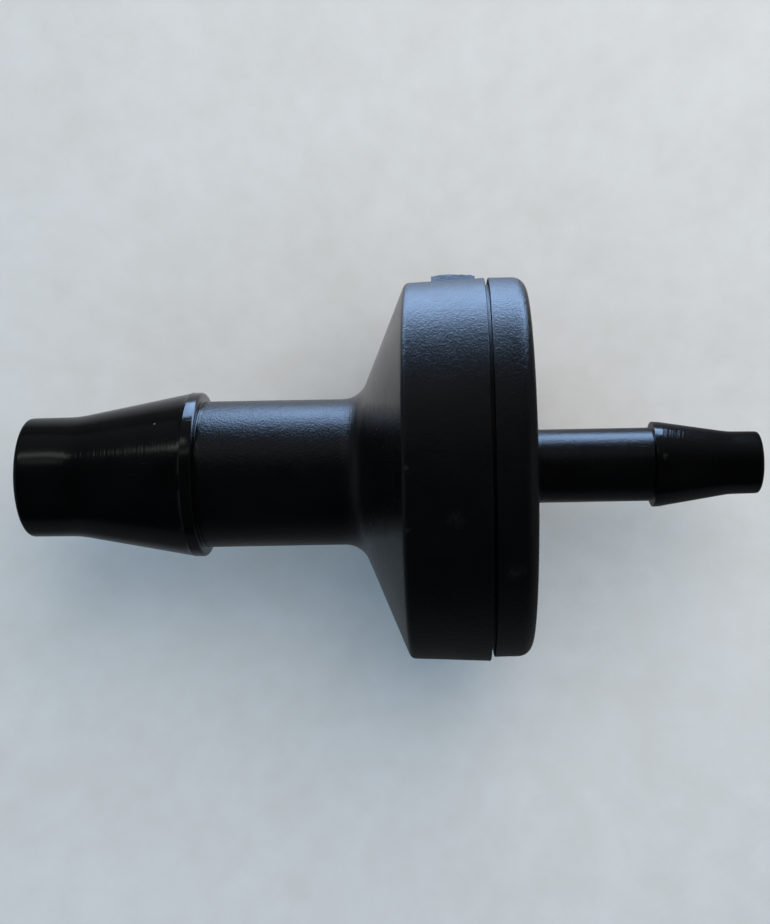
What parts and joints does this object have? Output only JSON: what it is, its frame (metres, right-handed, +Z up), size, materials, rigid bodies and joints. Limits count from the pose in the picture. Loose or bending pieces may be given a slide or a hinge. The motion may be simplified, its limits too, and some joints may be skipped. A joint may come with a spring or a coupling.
{
  "type": "drip emitter",
  "caption": "In-line reducing drip emitter: large hose barb, stepped round housing and small hose barb, with a sprung check valve, filter and regulating diaphragm inside.",
  "frame": {"origin": "on the flow axis, at the middle of the overall length", "axes": "+X is the direction of flow, from the large inlet barb to the small outlet barb; +Z is up as the emitter lies on its side; the mould gate stub on the drum points to +Y"},
  "size_m": [0.0318, 0.0168, 0.0166],
  "materials": {
    "body_plastic": "black moulded acetal, spark-textured drum and neck, smooth barb",
    "cover_plastic": "black moulded acetal, spark-textured rim, smooth barb",
    "seal_rubber": "black nitrile rubber",
    "filter_plastic": "natural acetal, fine perforations",
    "labyrinth_plastic": "blue-grey moulded acetal",
    "silicone": "translucent silicone rubber",
    "poppet_plastic": "natural acetal",
    "spring_steel": "stainless spring wire"
  },
  "bodies": {
    "housing": {"inlet_body": "body_plastic", "outlet_cover": "cover_plastic", "cover_seal": "seal_rubber", "filter_plate": "filter_plastic", "labyrinth_disc": "labyrinth_plastic", "check_spring": "spring_steel"},
    "poppet": {"check_poppet": "poppet_plastic", "poppet_seal": "seal_rubber"},
    "diaphragm": {"diaphragm": "silicone"}
  },
  "joints": [
    {"name": "poppet_slide", "type": "slide", "parent": "housing", "child": "poppet", "axis": [1, 0, 0], "range_m": [0, 0.001], "stiffness_N_per_m": 60, "deforming": ["check_spring"]},
    {"name": "diaphragm_lift", "type": "slide", "parent": "housing", "child": "diaphragm", "axis": [1, 0, 0], "range_m": [0, 0.00028]}
  ]
}
